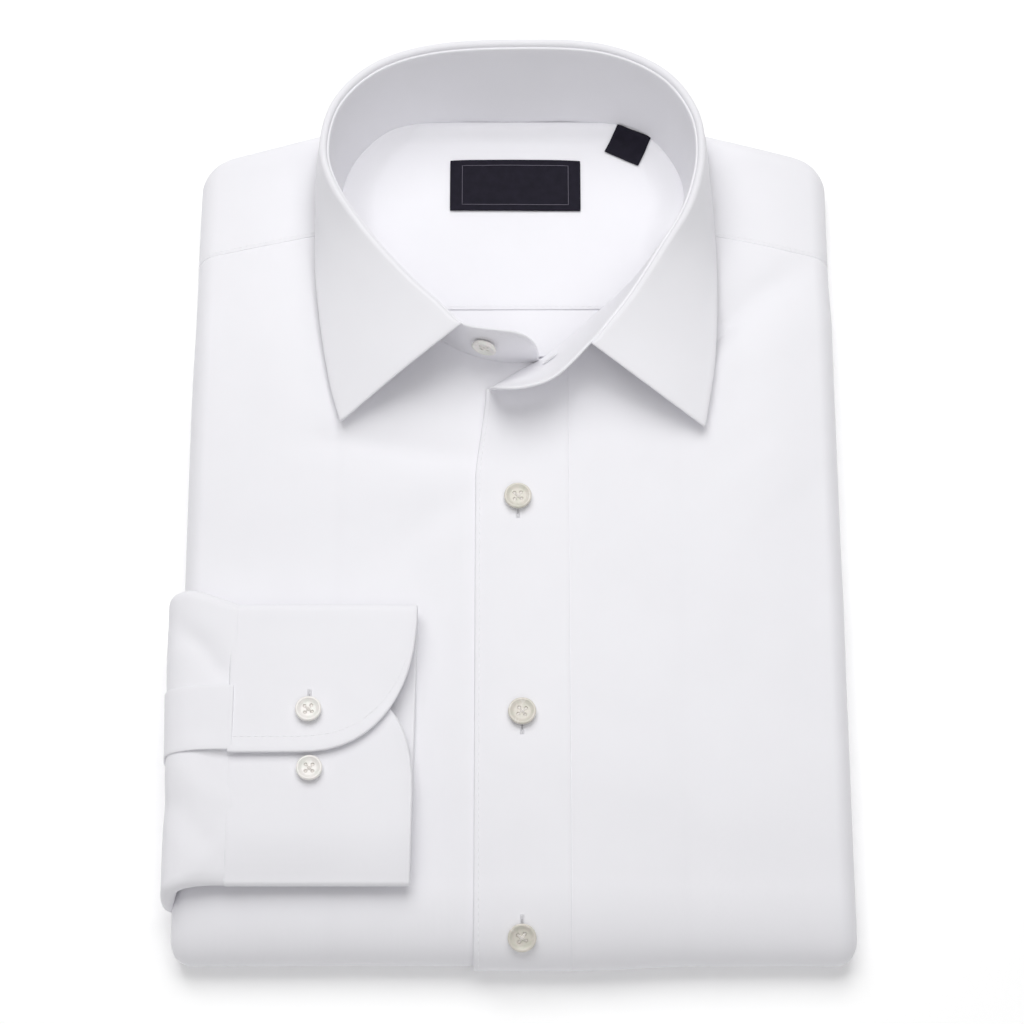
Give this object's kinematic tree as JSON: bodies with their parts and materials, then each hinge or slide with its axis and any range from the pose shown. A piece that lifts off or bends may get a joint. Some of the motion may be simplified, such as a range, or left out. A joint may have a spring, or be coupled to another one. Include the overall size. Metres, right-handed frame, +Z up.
{
  "type": "folded dress shirt",
  "caption": "Long-sleeved cotton dress shirt folded flat for display, collar standing open, one cuff laid over the front.",
  "frame": {"origin": "on the flat underside, on the line of the front buttons' middle, near the middle of the folded length", "axes": "+X to the wearer's left, which is the viewer's right, +Y from the folded hem to the collar, +Z up from the underside"},
  "size_m": [0.274, 0.4046, 0.0574],
  "materials": {
    "shirt_cotton": "matt, pressed",
    "folded_cotton": "matt",
    "button_pearl": "pearly gloss",
    "label_weave": "woven, matt"
  },
  "bodies": {
    "root": {"folded_layers": "folded_cotton", "front_left": "shirt_cotton", "front_right": "shirt_cotton", "placket": "shirt_cotton", "yoke_outer": "shirt_cotton", "yoke_inner": "shirt_cotton", "back_panel": "shirt_cotton", "collar_band": "shirt_cotton", "collar_leaf": "shirt_cotton", "sleeve": "shirt_cotton", "sleeve_placket": "shirt_cotton", "cuff": "shirt_cotton", "button_front_1": "button_pearl", "button_front_2": "button_pearl", "button_front_3": "button_pearl", "button_cuff_1": "button_pearl", "button_cuff_2": "button_pearl", "button_collar": "button_pearl", "label_main": "label_weave", "label_size": "label_weave"}
  },
  "joints": []
}
